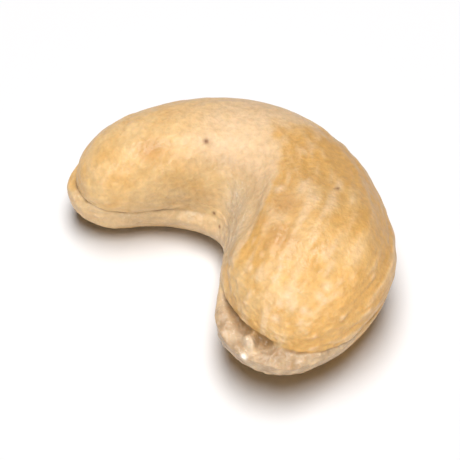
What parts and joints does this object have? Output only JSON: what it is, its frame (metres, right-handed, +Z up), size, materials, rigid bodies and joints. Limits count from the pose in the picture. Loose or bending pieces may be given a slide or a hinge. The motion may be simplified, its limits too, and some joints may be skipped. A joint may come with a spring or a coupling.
{
  "type": "cashew kernel",
  "caption": "Whole roasted cashew kernel out of its shell: a bent, bean-like nut with a thin arm, a sunken neck and a thick lobe, seamed all round, lying on its side.",
  "frame": {"origin": "centre of the kernel's box at its bottom, on the surface it rests on", "axes": "+Z up, out of the surface; +X from the tip of the thin arm towards the thick lobe; +Y from the tip of the lobe towards the back of the bend"},
  "size_m": [0.0232, 0.022, 0.0114],
  "materials": {
    "kernel": "roasted nut flesh, satin with a thin film of oil, paler on the neck, bare beige in the hollow and along the seam, toasted on the lobe"
  },
  "bodies": {
    "root": {"kernel": "kernel"}
  },
  "joints": []
}
